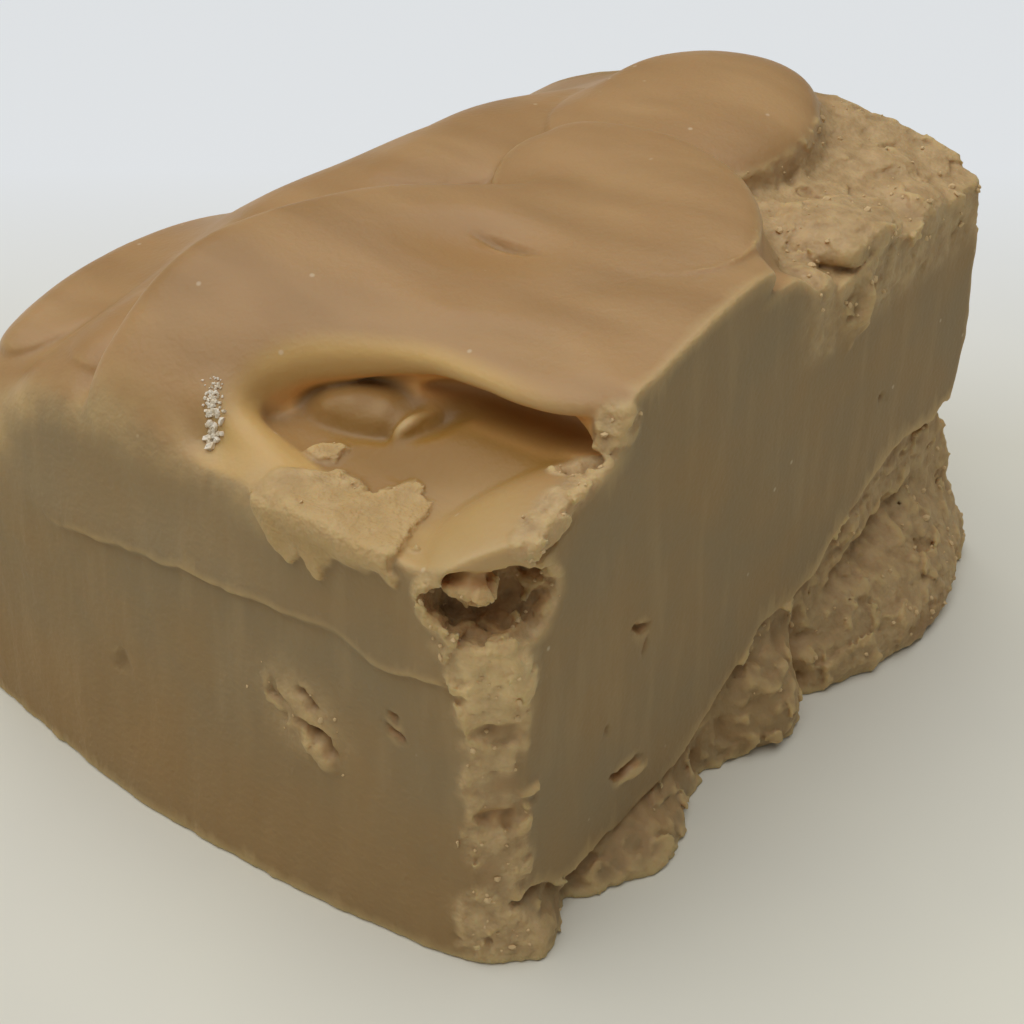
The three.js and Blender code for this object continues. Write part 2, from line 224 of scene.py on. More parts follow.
# The crumbly edge from the cavity up to the end of the lip: its two ends and how wide it is, with a notch.
CRUMBLY_EDGE = dict(start=(-0.4, 4.5, 37.9), end=(-0.9, 15.2, 42.2), width=1.3)
NOTCH = dict(at=(-2.6, 12.6, 39.6), half=(1.8, 1.2, 0.9), turn=40)
NOTCH_BLEND = 0.3

# How broken some places are, where 1 is all crumb, and how far in the near edge's crumb reaches.
EDGE_BROKEN = 0.6
EDGE_REACH = [(6, 1.7), (20, 2.2), (27, 2.8)]
EDGE_RAGGED = (0.7, 3, 3)
EDGE_FADE = 0.5
EDGE_TOP = (33, 30)
FOOT_BROKEN = 0.6
TOP_BROKEN = 0.4
TOP_LOW = (34, 37)
FRONT_BROKEN = 0.45
CRUMBLY_BROKEN = 0.6
CRUMBLY_FADE = (0.8, 0)
NOTCH_FADE = (0.8, 0.2)

# The crumb itself: how deep it reaches, heights and sizes of its facets, and its fine grain.
CRUMB_DEPTH = 2
FACETS = [(0.75, 2.8), (0.35, 1.3)]
GRAIN_HEIGHT = 0.15
GRAIN_SIZE = 0.6

# How pale the breaks are for how broken they are, and along the foot.
PALENESS = 1.6
FOOT_PALE = [(0, 0.0), (35, 0.1), (55, 0.38)]

# Relief of the cut faces. The front spreads towards the floor, and a smear stands out above a line.
FRONT_SPREAD = dict(depth=3.4, height=30)
SMEAR_LINE = [(-52, 24.6), (-44, 24.1), (-35, 25.1), (-22, 26.0), (-9, 26.0), (0, 26.0)]
SMEAR = dict(step=0.55, fade=6.0, left=(-50, -40))
SMEAR_RAGGED = (0.5, 5, 3)
SMEAR_BLUR = dict(least=0.35, change=0.25, size=7)
SMEAR_PALE = dict(start=(-1, 2), end=(13, 7), right=(-14, -26))
FRONT_WAVES = (0.25, 9, 9, 3)
FRONT_DRAG = (0.1, 1.6, 9, 4)
FRONT_DRAG_LOW = (26, 16)
FRONT_GRAIN = (0.04, 0.7, 2, 4)
# Heights over which painted shade comes in low on the front cut, near the floor.
FRONT_SHADE_LOW = (20, 5)
FRONT_ROUGH = dict(at=(-18.2, 17.6), half=(7.0, 5.0), turn=-28)
FRONT_ROUGH_DEPTH = (3, 1.5)
RIGHT_WAVES = (0.25, 9, 9, 7)
RIGHT_SCRAPE = (0.03, 2.4, 3)
RIGHT_SCRAPE_LONG = 6

# The back spreads towards the floor and is torn, and the left side waves.
BACK_SPREAD = dict(depth=4, height=16)
BACK_TORN = (0.9, 9, 4)
LEFT_SIDE_WAVES = (0.8, 9, 9, 13)

# Where a surface counts as a cut face: depth behind the face, and how squarely it looks out.
CUT_DEPTH = (1.5, 0.3)
CUT_FACING = (0.5, 0.8)
BACK_DEPTH = (2.5, 0.5)

# Marks on the cut faces, with ragged outlines. Each row has a mark's middle along the face and up, its half
# axes, its turn and its depth: pits go in, and smears, below zero, stand out.
MARK_RAGGED = (0.7, 1.8, 3)
FRONT_MARKS = [
    (-16.9, 16.0, 2.8, 0.9, -28, 1.3),
    (-16.4, 14.7, 2.6, 1.2, -28, -0.6),
    (-20.4, 18.2, 2.2, 0.9, -38, 0.7),
    (-17.6, 19.0, 1.6, 0.5, -30, 0.8),
    (-9.8, 20.0, 1.5, 0.5, -20, 0.9),
    (-9.4, 21.4, 0.7, 0.5, 0, 0.7),
    (-38, 13.0, 2.0, 1.1, 30, 0.5),
]
RIGHT_MARKS = [
    (17.6, 22.8, 2.2, 0.55, -6, 1.0),
    (18.4, 20.9, 1.0, 0.5, 20, 0.5),
    (16.6, 9.6, 2.5, 0.7, -14, 1.4),
    (17.6, 8.4, 2.6, 1.0, -14, -0.5),
    (13.5, 15.6, 0.5, 0.9, 0, 0.5),
    (54.3, 25.6, 0.9, 0.7, 0, 0.5),
    (6.0, 37.0, 3.6, 0.35, 22, 0.7),
    (48.2, 37.4, 2.2, 3.6, -15, -1.1),
    (3.9, 16.8, 1.1, 0.9, 30, -0.8),
]

# Torn flap over the front edge, in x and the distance over the edge: back along the top, then down the front.
# It thins out towards the left, and a loose flake lies beside it.
FLAP_BEND = 36.4
FLAP_BACK_EDGE = [
    (-23, 1), (-21.5, 3.6), (-18.8, 5.6), (-16.4, 5.0), (-13.4, 7.4), (-11, 7.2), (-10, 3), (-9, 0),
]
FLAP_DOWN_EDGE = [
    (-23, -2), (-20.7, -4.8), (-18.9, -6), (-17.7, -4.6), (-16, -6.2), (-14.6, -3.4), (-7, -3.6),
]
FLAP_ENDS = (-24.0, -8.6)
FLAP_FADE = dict(left=(-25, -17), down=(0, -2))
FLAP_RAGGED = dict(depth=1.2, turn=(-1, 1))
FLAP_TOP_GRAIN = dict(grain=1.7, layers=4, keep=0.6)
FLAP_FRONT_GRAIN = dict(grain=2.6, layers=3)
FLAP_RIM = 0.9
FLAP_THICK = 0.5
FLAP_LUMPS = (0.6, 2.5, 2)
FLAP_LOW = (28, 30)
FLAKE = dict(at=(-21.2, 6.4), half=(3.4, 2.8), turn=25)
FLAKE_LOW = 2
FLAKE_RISE = 5
FLAKE_OUTSIDE = 3
FLAKE_RIM = 0.2

# How far around a place its bulge is measured.
BULGE_REACH = 1.0

# Loose crumbs on the broken places and sugar crystals on the skin: count, sizes and seed, what keeps crumbs
# off, and the shapes of both.
CRUMBS = dict(count=320, size=(0.1, 0.38), seed=5)
CRUMBS_OFF = dict(flap=0.9, low=0.8, overhang=-0.3)
CRYSTALS = dict(count=110, size=(0.09, 0.4), seed=8, start=(-30.4, 4.5), end=(-29.0, 2.5), width=0.36)

STONE = dict(stretch=(0.55, 1.15), rough=(0.75, 1.2), lift=0.1, square=0.62, square_growth=1.3)

# Colours.
SKIN_LIGHT = (0.50, 0.303, 0.131, 1)
SKIN_DARK = (0.40, 0.232, 0.091, 1)
SKIN_WARM = (0.45, 0.255, 0.102, 1)
CUT_WARM = (0.346, 0.228, 0.1, 1)
CUT_GREY = (0.315, 0.226, 0.113, 1)
CUT_PALE = (0.42, 0.295, 0.145, 1)
CRUMB_PALE = (0.64, 0.455, 0.23, 1)
CRUMB_DARK = (0.45, 0.30, 0.14, 1)
# Painted shade: the warm dark brown of the ledge in the pocket under the lip.
LEDGE_PAINTED_SHADE = (0.32, 0.168, 0.033, 1)
# Painted light: the glow of light through the thin lip.
LIP_PAINTED_GLOW = (0.65, 0.42, 0.155, 1)
# Painted shade in the dimple on the tongue.
DIMPLE_PAINTED_SHADE = (0.42, 0.225, 0.075, 1)
# Painted shade inside the broken cavity.
CAVITY_PAINTED_SHADE = (0.42, 0.20, 0.062, 1)
CHIP_CREAM = (0.85, 0.62, 0.30, 1)
# Painted shade low on the front cut, near the floor.
CUT_LOW_PAINTED_SHADE = (0.345, 0.205, 0.075, 1)
# Painted light: a glow in the hollow under the lip, standing in for light shining through the fudge.
HOLLOW_PAINTED_GLOW = (0.82, 0.47, 0.165, 1)
CUT_SMEARED = (0.43, 0.315, 0.17, 1)
CRUMB_LOOSE = (0.70, 0.51, 0.27, 1)
FLAP_PALE = (0.55, 0.363, 0.146, 1)
# Painted highlight on bulging edges.
EDGE_PAINTED_HIGHLIGHT = (0.60, 0.43, 0.20, 1)
# Painted highlight along the brow of the front cut.
BROW_PAINTED_HIGHLIGHT = (0.58, 0.40, 0.185, 1)
# Painted shade in creases.
CREASE_PAINTED_SHADE = (0.33, 0.19, 0.075, 1)
SUGAR = (0.74, 0.62, 0.44, 1)
SUGAR_WHITE = (0.92, 0.86, 0.74, 1)
FLOOR_NEAR = (0.80, 0.79, 0.69, 1)
FLOOR_SHADE = (0.75, 0.74, 0.66, 1)
FLOOR_FAR = (0.92, 0.96, 1.0, 1)

# How light scatters in the fudge, in metres, further for red than for blue, and how it shines.
SCATTER = dict(weight=0.35, scale=0.0026, radius=(1.0, 0.5, 0.22))
SHINE = 0.4
CUT_DULL = 0.75
SKIN_DULL = 0.46

# Parts of a noise pattern's span, specks of sugar in millimetres, spans from bulge to tint of the painted
# highlight on the edges and the painted shade in the creases, and how strongly other places take their tints.
NOISE_MOST = (0.3, 0.7)
NOISE_MIDDLE = (0.35, 0.65)
SPECKS = dict(spacing=2.8, radius=0.26, share=0.34)
EDGE_HIGHLIGHT_TINT = (0.05, 0.25, 0, 0.75)
CREASE_SHADE_TINT = (-0.06, -0.3, 0, 0.6)
TINTS = dict(dimple=0.7, low=0.6, smeared=0.3, cavity=0.75, specks=0.45, mottling=(0.35, 0.95))

# The floor's half width and where it turns cooler behind the block, in metres, and the studio's light.
FLOOR_SIZE = 2.0
FLOOR_TURNS = (0.03, 0.10)
SKY = dict(colour=(0.95, 0.97, 1.0, 1), strength=0.14)
SUN = dict(colour=(1, 0.985, 0.96), strength=2.2, angle=math.radians(75), direction=(0.15, 0.11, -1))

# Camera, as it stood over the near corner.
CAMERA_AT = np.array([65.916, -84.075, 116.73])
CAMERA_TURN = math.radians(37.6)
CAMERA_DOWN = math.radians(34.5)
CAMERA_LENS = 70.3


# Plain maths on arrays.

def ease(low, high, value):
    share = np.clip((value - low) / (high - low), 0, 1)
    return share * share * (3 - 2 * share)


def smooth_max(a, b, blend):
    share = np.maximum(blend - np.abs(a - b), 0) / blend
    return np.maximum(a, b) + share * share * (blend / 4)


def smooth_min(a, b, blend):
    return -smooth_max(-a, -b, blend)


def along_line(value, line):
    """Reads a line of points at a value."""
    return np.interp(value, *zip(*line)).astype(np.float32)


def cell_value(i, j, k):
    with np.errstate(over="ignore"):
        mixed = i * np.uint32(374761393) ^ j * np.uint32(668265263) ^ k * np.uint32(1440662683)
        mixed = (mixed ^ (mixed >> np.uint32(13))) * np.uint32(1274126177)
        mixed ^= mixed >> np.uint32(16)
    return mixed.astype(np.float32) / np.float32(2 ** 31) - 1


def whole_cells(x, y, z):
    """The unit cell of each place as whole numbers, and the place within it."""
    places = np.broadcast_arrays(*(np.asarray(v, np.float32) for v in (x, y, z)))
    floors = [np.floor(place) for place in places]
    inside = [place - floor for place, floor in zip(places, floors)]
    return [floor.astype(np.int32).astype(np.uint32) for floor in floors], inside


def noise(x, y, z):
    """Repeatable value noise from -1 to 1, with one smooth bump about every unit."""
    whole, inside = whole_cells(x, y, z)
    eased = [ease(0, 1, share) for share in inside]
    total = np.zeros(inside[0].shape, np.float32)
    for corner in range(8):
        step = (corner & 1, corner >> 1 & 1, corner >> 2)
        weight = 1
        for on, share in zip(step, eased):
            weight = weight * (share if on else 1 - share)
        total += weight * cell_value(*(w + np.uint32(on) for w, on in zip(whole, step)))
    return total


def layered_noise(x, y, z, grain, layers, keep=0.5):
    """Noise of several sizes, each half as large as the last and keep times as strong."""
    total = 0
    for layer in range(layers):
        size = grain / 2 ** layer
        total = total + keep ** layer * noise(x / size + 31 * layer, y / size, z / size)
    return total


def ragged_by(x, y, z, depth, grain, layers):
    return depth * layered_noise(x, y, z, grain, layers)


def facets(x, y, z, grain):
    """Flat facets of a broken surface, each about a grain wide."""
    whole, inside = whole_cells(x / grain, y / grain, z / grain)
    nearest = np.full(inside[0].shape, 9, np.float32)
    height = np.zeros(inside[0].shape, np.float32)
    for step in np.ndindex(3, 3, 3):
        cell = [w + np.uint32(s) - np.uint32(1) for w, s in zip(whole, step)]
        jitter = [0.4 * cell_value(cell[0] + np.uint32(57 * axis), cell[1], cell[2]) for axis in range(3)]
        away = [inside[axis] - (step[axis] - 0.5 + jitter[axis]) for axis in range(3)]
        square = sum(offset ** 2 for offset in away)
        lean = sum(slope * offset for slope, offset in zip(jitter, away))
        facet = 0.6 * cell_value(cell[0], cell[1] + np.uint32(91), cell[2]) + 1.5 * lean
        closer = square < nearest
        nearest = np.where(closer, square, nearest)
        height = np.where(closer, facet, height)
    return height


def turned(x, y, at, turn):
    """Distances along and across a direction, from a point."""
    angle = math.radians(turn)
    along = (x - at[0]) * math.cos(angle) + (y - at[1]) * math.sin(angle)
    across = (y - at[1]) * math.cos(angle) - (x - at[0]) * math.sin(angle)
    return along, across


def hump(x, y, at, half, turn=0):
    """A soft bump, 1 in its middle and 0 past its half axes."""
    along, across = turned(x, y, at, turn)
    return np.clip(1 - (along / half[0]) ** 2 - (across / half[1]) ** 2, 0, 1) ** 2


def ellipsoid(x, y, z, at, half, turn):
    """Distance from an ellipsoid, near enough close to it."""
    along, across = turned(x, y, at, turn)
    scaled = [along / half[0], across / half[1], (z - at[2]) / half[2]]
    reach = np.sqrt(sum(value ** 2 for value in scaled))
    steep = np.sqrt(sum((value / size) ** 2 for value, size in zip(scaled, half)))
    return reach * (reach - 1) / np.maximum(steep, 1e-6)


def join(field, x, y, z, lumps, blend, crumb=0):
    """Adds ellipsoids to a field, roughened by some crumb."""
    for lump in lumps:
        field = smooth_min(field, ellipsoid(x, y, z, **lump) + crumb, blend)
    return field


def carve(field, x, y, z, holes, blend, crumb=0):
    """Cuts ellipsoids out of a field, roughened by some crumb."""
    for hole in holes:
        field = smooth_max(field, crumb - ellipsoid(x, y, z, **hole), blend)
    return field


def as_distance(level):
    """Evens out a field so that it grows by one for each millimetre."""
    steep = np.sqrt(sum(slope ** 2 for slope in np.gradient(level, VOXEL)))
    return level / np.maximum(steep, 1e-3)


# Heights of the top.

def loaf_top(x, y):
    ahead = along_line(x, LOAF_AHEAD)
    height = LOAF["low"] + (LOAF["high"] - LOAF["low"]) * ease(*LOAF["rise"], y + ahead)
    out = np.clip((LOAF["crown_x"] - x) / LOAF["half_width"], 0, LOAF["end"])
    return height * (1 - out ** LOAF["power"]) ** (1 / LOAF["power"])


def fold_reach(x, y, fold):
    along, across = turned(x, y, fold["at"], fold["turn"])
    return np.hypot(along / fold["half"][0], across / fold["half"][1])


def fold_top(x, y, fold):
    """Height of a fold: a dome with a steep skirt past its outline, rounding off softly at its left."""
    square = fold.get("square", 2)
    reach = fold_reach(x, y, fold)
    dome = fold["half"][2] * np.clip(1 - reach ** square, 0, 1) ** (1 / square)
    crisp = dome - SKIRT * np.maximum(reach - 1, 0) * min(fold["half"][:2])
    soft = fold["half"][2] * (1 - reach ** 2)
    side = ease(*fold.get("soft", SOFT_SIDE), (x - fold["at"][0]) / fold["half"][0])
    across = turned(x, y, fold["at"], fold["turn"])[1]
    return fold["at"][2] + fold.get("lean", 0) * across + soft + side * (crisp - soft)


def crease_width(x, y):
    """How softly the folds meet, more so towards the left and behind."""
    away = np.maximum(ease(*CREASE["left"], x), ease(*CREASE["behind"], y))
    return CREASE["crisp"] + (CREASE["soft"] - CREASE["crisp"]) * away


def top_waves(x, y, height, x_size, y_size, layer):
    return height * noise(x / x_size, y / y_size, layer)


def swell(x, y):
    """Waves of the folded skin, with the dimple on the tongue."""
    waves = top_waves(x, y, *SWELL) + top_waves(x - y, x + y, *RIPPLES)
    waves = waves + ease(*LEFT_WAVES_START, x) * top_waves(x, y, *LEFT_WAVES)
    return waves - DIMPLE_DEPTH * hump(x, y, **DIMPLE) - SLIT_DEPTH * hump(x, y, **SLIT)


def rough_top(x, y):
    """Where the folds have broken away behind the right cut."""
    beside_crown = ease(*ROUGH["crown"], fold_reach(x, y, CROWN)) * ease(*ROUGH["right"], x)
    beside_middle = ease(*ROUGH["middle"], fold_reach(x, y, MIDDLE)) * ease(*ROUGH["behind"], y)
    return beside_crown * beside_middle


def upper_top(x, y):
    height = loaf_top(x, y) - rough_top(x, y) * (ROUGH["sink"] + ROUGH["tilt"] * x)
    for fold in (MIDDLE, CROWN, BACK_LEFT, BACK_MIDDLE, SHOULDER, TONGUE_ROOT, FLANK):
        height = smooth_max(height, fold_top(x, y, fold), crease_width(x, y))
    return height + swell(x, y)


def ledge_top(x, y):
    """The low front ledge, with the pocket's floor, the near corner's fold and the peak at the left."""
    ledge = LOAF["low"] / LOAF["high"] * loaf_top(x, np.maximum(y, LOAF["rise"][1]))
    tilt = LEDGE_TILT["rise"] * ease(*LEDGE_TILT["depth"], y) * ease(*LEDGE_TILT["left"], x)
    height = ledge + tilt - POCKET_DEPTH * hump(x, y, **POCKET_FLOOR) + top_waves(x, y, *LEDGE_WAVES)
    height = height + PEAK_RISE * hump(x, y, **PEAK)
    return smooth_max(height, fold_top(x, y, CORNER), CORNER_CREASE)


def soft_line(x, line):
    """Reads a line of points with its corners rounded off."""
    return sum(along_line(x + step, line) for step in (-2, -1, 0, 1, 2)) / 5


def tongue_rims(x):
    """Where the tongue's front and back rims lie."""
    return soft_line(x, TONGUE_FRONT), soft_line(x, TONGUE_BACK)


def above_rim(x, y, z):
    """Height above the level of the tongue's rims."""
    middle = sum(tongue_rims(x)) / 2
    fallen = TONGUE_FALL["depth"] * (np.maximum(TONGUE_FALL["start"] - y, 0) / TONGUE_FALL["start"]) ** 2
    level = TONGUE["top"] - along_line(x, TONGUE_OVER) - fallen + TONGUE["lean"] * (y - middle)
    return z - swell(x, y) - level


def tongue_level(x, y, z):
    """Below zero inside the tongue."""
    front, back = tongue_rims(x)
    middle, half = (front + back) / 2, (back - front) / 2
    along = np.minimum(x - TONGUE["end"] - TONGUE["end_run"], 0) / TONGUE["end_run"]
    up = above_rim(x, y, z)
    height = np.abs(up) / np.where(up > 0, along_line(x, TONGUE_OVER), along_line(x, TONGUE_UNDER))
    plan = np.sqrt(along ** TONGUE_RIM["blunt"] + ((y - middle) / half) ** 2)
    square = TONGUE_RIM["square"]
    return (plan ** square + height ** square) ** (1 / square) - 1


def under_lip(x, y, z):
    """How far a place lies in the hollow under the tongue's front rim."""
    behind = y - tongue_rims(x)[0]
    inside = ease(*HOLLOW["front"], behind) * ease(*HOLLOW["back"], behind)
    above = above_rim(x, y, z)
    inside = inside * ease(*HOLLOW["under"], above) * ease(*HOLLOW["floor"], above)
    return inside * ease(*HOLLOW["left"], x)


def lip_share(x, y, z):
    """How near a place on the tongue lies to its front rim."""
    front = tongue_rims(x)[0]
    slope = tongue_rims(x + 0.5)[0] - tongue_rims(x - 0.5)[0]
    behind = (y - front) / np.sqrt(1 + slope ** 2)
    near = ease(*LIP["width"], behind) * ease(*LIP["under"], above_rim(x, y, z))
    return near * ease(*LIP["left"], x) * ease(*LIP["right"], x)


# Cut faces.

def marks_depth(u, v, marks):
    """Depth of the pits and smears of a cut face, with ragged outlines."""
    ragged_u = u + ragged_by(u, v, 41, *MARK_RAGGED)
    ragged_v = v + ragged_by(u, v, 47, *MARK_RAGGED)
    total = 0
    for at_u, at_v, half_u, half_v, turn, depth in marks:
        total = total + depth * hump(ragged_u, ragged_v, (at_u, at_v), (half_u, half_v), turn)
    return total


def face_waves(u, z, height, u_size, z_size, layer):
    return height * noise(u / u_size, layer, z / z_size)


def front_face(x, z):
    across = np.clip((x - LEFT) / (RIGHT - LEFT), 0, 1)
    spread = FRONT_SPREAD["depth"] * np.sin(np.pi * across) * np.clip(1 - z / FRONT_SPREAD["height"], 0, 1)
    above = z - along_line(x, SMEAR_LINE) - ragged_by(x, 5, 5, *SMEAR_RAGGED)
    fade = SMEAR["step"] * np.exp(-np.maximum(above, 0) / SMEAR["fade"])
    blur = SMEAR_BLUR["least"] + SMEAR_BLUR["change"] * noise(x / SMEAR_BLUR["size"], 6, 6)
    smear = fade * ease(-blur, blur, above) * ease(*SMEAR["left"], x)
    drag = face_waves(x, z, *FRONT_DRAG) * ease(*FRONT_DRAG_LOW, z) + face_waves(x, z, *FRONT_GRAIN)
    waves = face_waves(x, z, *FRONT_WAVES) + drag
    return FRONT - spread - smear + waves + marks_depth(x, z, FRONT_MARKS)


def foot_line(y):
    """Height of the line below which the right cut has broken away."""
    return along_line(y, FOOT_LINE) + ragged_by(y, 2, 9, *FOOT_RAGGED)


def foot_face(y, z):
    """Where the broken foot lies, spreading towards the floor."""
    spread = FOOT_SPREAD * np.clip(1 - z / foot_line(y), 0, 1)
    return RIGHT - FOOT_RECESS + spread - marks_depth(y, z, FOOT_MARKS)


def right_face(y, z):
    scrape = ragged_by(y, 7, z / RIGHT_SCRAPE_LONG, *RIGHT_SCRAPE)
    waves = face_waves(y, z, *RIGHT_WAVES) + scrape
    return RIGHT + waves - marks_depth(y, z, RIGHT_MARKS)


def back_face(x, z):
    spread = BACK_SPREAD["depth"] * np.clip(1 - z / BACK_SPREAD["height"], 0, 1)
    return BACK + spread + ragged_by(x, 5, z, *BACK_TORN)


def left_face(y, z):
    return LEFT + face_waves(y, z, *LEFT_SIDE_WAVES)


# The field.

def grid_axes():
    counts = np.ceil((GRID_HIGH - GRID_LOW) / VOXEL).astype(int)
    x, y, z = (low + VOXEL * np.arange(n, dtype=np.float32) for low, n in zip(GRID_LOW, counts))
    return x[:, None, None], y[None, :, None], z[None, None, :]


def part_of(x, y, z, low, high):
    """The slices of the grid between two corners, with their coordinates."""
    cut = tuple(
        slice(*np.searchsorted(axis.ravel(), (a, b)))
        for axis, a, b in zip((x, y, z), low, high)
    )
    return cut, x[cut[0]], y[:, cut[1]], z[:, :, cut[2]]


def under_height(height, z):
    """Field of all that lies under a height."""
    slope_x, slope_y = np.gradient(height, VOXEL)
    return (z - height[:, :, None]) / np.sqrt(1 + slope_x ** 2 + slope_y ** 2)[:, :, None]


def lay_tongue(field, x, y, z):
    cut, x, y, z = part_of(x, y, z, *SPANS["tongue"])
    tongue = as_distance(tongue_level(x, y, z))
    field[cut] = smooth_min(field[cut], tongue, TONGUE_CREASE)


def carve_slot(field, x, y, z):
    """Opens the slot that runs back under the lip."""
    cut, x, y, z = part_of(x, y, z, *SPANS["slot"])
    field[cut] = carve(field[cut], x, y, z, [SLOT], SLOT_ROUND)


def fill_pocket(field, x, y, z):
    cut, x, y, z = part_of(x, y, z, *SPANS["pocket"])
    part = smooth_min(field[cut], stroke(x, y, z, **RIDGE), RIDGE_BLEND)
    field[cut] = join(part, x, y, z, POCKET_LUMPS, LUMP_BLEND, ragged_by(x, y, z, *LUMP_RAGGED))


def block_field(x, y, z):
    field = under_height(upper_top(x[:, :, 0], y[:, :, 0]), z)
    carve_slot(field, x, y, z)
    lay_tongue(field, x, y, z)
    ledge = under_height(ledge_top(x[:, :, 0], y[:, :, 0]), z)
    field = smooth_min(field, ledge, along_line(x, LEDGE_BLEND))
    fill_pocket(field, x, y, z)
    pile_boulders(field, x, y, z)
    field = smooth_max(field, front_face(x, z) - y, along_line(x, FRONT_ROUND))
    field = smooth_max(field, x - right_face(y, z), RIGHT_ROUND)
    field = smooth_max(field, y - back_face(x, z), BACK_ROUND)
    return smooth_max(field, left_face(y, z) - x, LEFT_ROUND)


def pile_boulders(field, x, y, z):
    cut, x, y, z = part_of(x, y, z, *SPANS["boulders"])
    field[cut] = join(field[cut], x, y, z, BOULDERS, BOULDER_BLEND)


def break_foot(field, x, y, z):
    """Breaks the right cut away below its line, and sets the broken foot there."""
    cut, x, y, z = part_of(x, y, z, *SPANS["foot"])
    below = z - foot_line(y)
    behind = x - foot_face(y, z)
    blend = FOOT_BLEND["line"]
    part = smooth_max(field[cut], -smooth_max(below, -behind, blend), blend)
    foot = smooth_max(behind, below, blend)
    foot = smooth_max(foot, front_face(x, z) - y, FOOT_BLEND["front"])
    foot = smooth_max(foot, y - back_face(x, z), BACK_ROUND)
    field[cut] = smooth_min(part, foot, blend)


def chip_near_edge(field, x, y, z):
    cut, x, y, z = part_of(x, y, z, *SPANS["near_edge"])
    edge = (x - y) / math.sqrt(2) + along_line(z, CHIP_WIDTH)
    part = smooth_max(field[cut], edge, CHIP_BLEND["edge"])
    ragged = layered_noise(x, y, z, **CHIP_RAGGED)
    part = carve(part, x, y, z, CHIP_HOLES, CHIP_BLEND["holes"], ragged)
    part = carve(part, x, y, z, [CAVITY], CAVITY_BLEND, CHIP_ROUGH["cavity"] * ragged)
    field[cut] = join(part, x, y, z, CAVITY_LUMPS, CAVITY_BLEND, CHIP_ROUGH["lumps"] * ragged)


def carve_notch(field, x, y, z):
    cut, x, y, z = part_of(x, y, z, *SPANS["notch"])
    field[cut] = carve(field[cut], x, y, z, [NOTCH], NOTCH_BLEND)


def stroke(x, y, z, start, end, width):
    """Distance from a thick stroke between two points."""
    start, run = np.array(start), np.subtract(end, start)
    offset = [value - low for value, low in zip((x, y, z), start)]
    share = np.clip(sum(o * r for o, r in zip(offset, run)) / (run @ run), 0, 1)
    return np.sqrt(sum((o - share * r) ** 2 for o, r in zip(offset, run))) - width


def broken_foot(x, y, z):
    """1 on the broken foot of the right cut."""
    return ease(*FOOT_EDGE["line"], z - foot_line(y)) * ease(*FOOT_EDGE["depth"], x)


def broken_share(x, y, z, foot_broken=FOOT_BROKEN):
    """How broken the surface is, where 1 is all crumb."""
    inward = (y - x) / math.sqrt(2) + ragged_by(x, y, z, *EDGE_RAGGED)
    reach = along_line(z, EDGE_REACH)
    near_edge = EDGE_BROKEN * ease(reach + EDGE_FADE, reach - EDGE_FADE, inward)
    near_edge = near_edge * ease(*EDGE_TOP, z)
    foot = foot_broken * broken_foot(x, y, z)
    top = TOP_BROKEN * rough_top(x, y) * ease(*TOP_LOW, z)
    cavity = ease(*CAVITY_BROKEN["around"], ellipsoid(x, y, z, **CAVITY))
    cavity = cavity * ease(*CAVITY_BROKEN["top"], z)
    edge = CRUMBLY_BROKEN * ease(*CRUMBLY_FADE, stroke(x, y, z, **CRUMBLY_EDGE))
    notch = ease(*NOTCH_FADE, ellipsoid(x, y, z, **NOTCH))
    front = FRONT_BROKEN * hump(x, z, **FRONT_ROUGH) * ease(*FRONT_ROUGH_DEPTH, y)
    return np.maximum.reduce([near_edge, foot, top, cavity, edge, notch, front])


def crumble(field, x, y, z):
    """Roughens the broken places with facets and grain."""
    close = np.nonzero(np.abs(field) < CRUMB_DEPTH)
    x, y, z = (axis.ravel()[place] for axis, place in zip((x, y, z), close))
    broken = broken_share(x, y, z)
    some = broken > 0
    x, y, z = x[some], y[some], z[some]
    rough = 0
    for height, grain in FACETS:
        rough = rough + height * facets(x, y, z, grain)
    rough = rough + GRAIN_HEIGHT * noise(x / GRAIN_SIZE, y / GRAIN_SIZE, z / GRAIN_SIZE)
    field[tuple(place[some] for place in close)] += broken[some] * rough


def flap_share(x, y, z):
    """How much of the torn flap's thickness lies at a place near the front edge."""
    over = y + z - FLAP_BEND
    fine = layered_noise(x, y, z, **FLAP_TOP_GRAIN)
    coarse = layered_noise(x, y, z, **FLAP_FRONT_GRAIN)
    ragged = FLAP_RAGGED["depth"] * (coarse + ease(*FLAP_RAGGED["turn"], over) * (fine - coarse))
    back = along_line(x, FLAP_BACK_EDGE) - over
    down = over - along_line(x, FLAP_DOWN_EDGE)
    ends = np.minimum(x - FLAP_ENDS[0], FLAP_ENDS[1] - x)
    loose = FLAKE_RISE * hump(x, y, **FLAKE) - FLAKE_OUTSIDE
    flake = np.where(z > FLAP_BEND - FLAKE_LOW, loose, -FLAKE_OUTSIDE)
    inside = np.maximum(np.minimum(np.minimum(back, down), ends), flake)
    thin = np.maximum(ease(*FLAP_FADE["left"], x), ease(*FLAP_FADE["down"], over))
    return ease(0, FLAP_RIM, inside + ragged) * np.maximum(thin, ease(0, FLAKE_RIM, flake))


def add_flap(field, x, y, z):
    cut, x, y, z = part_of(x, y, z, *SPANS["flap"])
    lumps = 1 + ragged_by(x, y, z, *FLAP_LUMPS)
    field[cut] -= FLAP_THICK * lumps * flap_share(x, y, z)


def fudge_field(x, y, z):
    field = block_field(x, y, z)
    break_foot(field, x, y, z)
    chip_near_edge(field, x, y, z)
    carve_notch(field, x, y, z)
    crumble(field, x, y, z)
    add_flap(field, x, y, z)
    return smooth_max(field, -z, FLOOR_ROUND)


# The mesh.

def to_metres(points):
    return (points - FRAME_ORIGIN) / 1000


def from_metres(points):
    return points * 1000 + FRAME_ORIGIN


